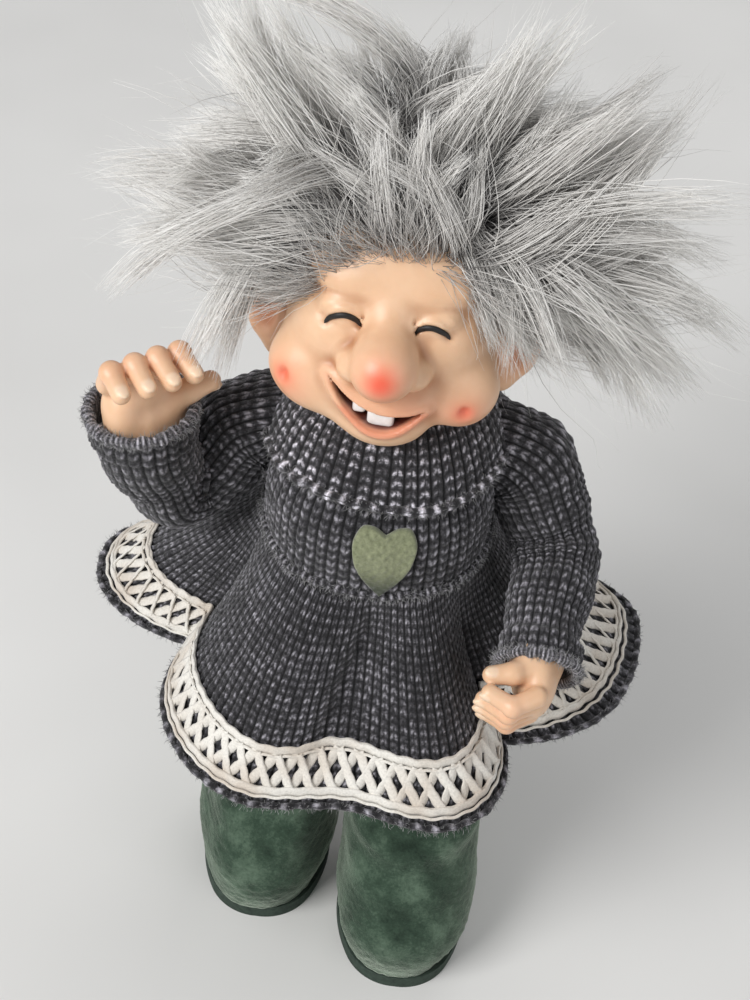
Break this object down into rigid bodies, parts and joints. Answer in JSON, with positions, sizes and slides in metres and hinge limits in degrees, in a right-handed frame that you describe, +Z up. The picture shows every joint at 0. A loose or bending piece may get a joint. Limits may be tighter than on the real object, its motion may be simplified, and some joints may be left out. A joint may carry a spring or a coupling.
{
  "type": "norwegian troll figure",
  "caption": "Standing folk troll doll with wild fur hair, cast grinning head and hands, knitted dress with a lace hem and felt boots; head turns and jointed arms wave.",
  "frame": {"origin": "on the floor, under the middle of the neck and between the boots", "axes": "+Z up, the doll faces -Y, its left hand is towards +X"},
  "size_m": [0.173, 0.1533, 0.3162],
  "materials": {
    "skin": "satin cast skin with airbrushed red on nose and cheeks",
    "tooth": "glossy white",
    "hair": "long-pile fur, silver grey with darker roots",
    "knit": "ribbed chenille knit, charcoal with pale flecks",
    "lace": "ivory cotton lace with a row of diamonds",
    "felt": "olive green felt",
    "boot_felt": "dark green napped felt",
    "sole_felt": "dense dark felt",
    "stuffing": "stuffed calico",
    "wire": "bright steel wire",
    "dowel": "plain turned dowel",
    "fibre": "moulded, plain"
  },
  "bodies": {
    "body": {"torso": "stuffing", "neck_post": "dowel", "neck_washer": "fibre", "neck_cap": "wire", "bodice": "knit", "collar": "knit", "skirt": "knit", "lace_trim": "lace", "heart": "felt", "right_leg": "stuffing", "right_leg_rod": "wire", "right_boot": "boot_felt", "right_sole": "sole_felt", "left_leg": "stuffing", "left_leg_rod": "wire", "left_boot": "boot_felt", "left_sole": "sole_felt", "right_shoulder_pin": "wire", "left_shoulder_pin": "wire"},
    "head": {"head": "skin", "neck_plug": "fibre", "upper_tooth": "tooth", "lower_tooth": "tooth", "wig": "hair"},
    "right_upper_arm": {"right_upper_link": "wire", "right_elbow_rivet": "wire", "right_upper_wadding": "stuffing", "right_upper_sleeve": "knit"},
    "right_forearm": {"right_fore_link": "wire", "right_fore_wadding": "stuffing", "right_fore_sleeve": "knit", "right_hand": "skin"},
    "left_upper_arm": {"left_upper_link": "wire", "left_elbow_rivet": "wire", "left_upper_wadding": "stuffing", "left_upper_sleeve": "knit"},
    "left_forearm": {"left_fore_link": "wire", "left_fore_wadding": "stuffing", "left_fore_sleeve": "knit", "left_hand": "skin"}
  },
  "joints": [
    {"name": "head_turn", "type": "hinge", "parent": "body", "child": "head", "pos_m": [0, 0, 0.206], "axis": [0, 0, 1], "range_deg": [-25, 25]},
    {"name": "right_shoulder", "type": "hinge", "parent": "body", "child": "right_upper_arm", "pos_m": [-0.0365, 0, 0.184], "axis": [1, 0, 0], "range_deg": [-8, 45]},
    {"name": "right_elbow", "type": "hinge", "parent": "right_upper_arm", "child": "right_forearm", "pos_m": [-0.0554, -0.00796, 0.15814], "axis": [0.0972, -0.9373, -0.3346], "range_deg": [0, 40]},
    {"name": "left_shoulder", "type": "hinge", "parent": "body", "child": "left_upper_arm", "pos_m": [0.0365, 0, 0.184], "axis": [-1, 0, 0], "range_deg": [0, 45]},
    {"name": "left_elbow", "type": "hinge", "parent": "left_upper_arm", "child": "left_forearm", "pos_m": [0.05304, -0.00681, 0.15627], "axis": [-0.9924, 0.1181, 0.0343], "range_deg": [0, 30]}
  ]
}
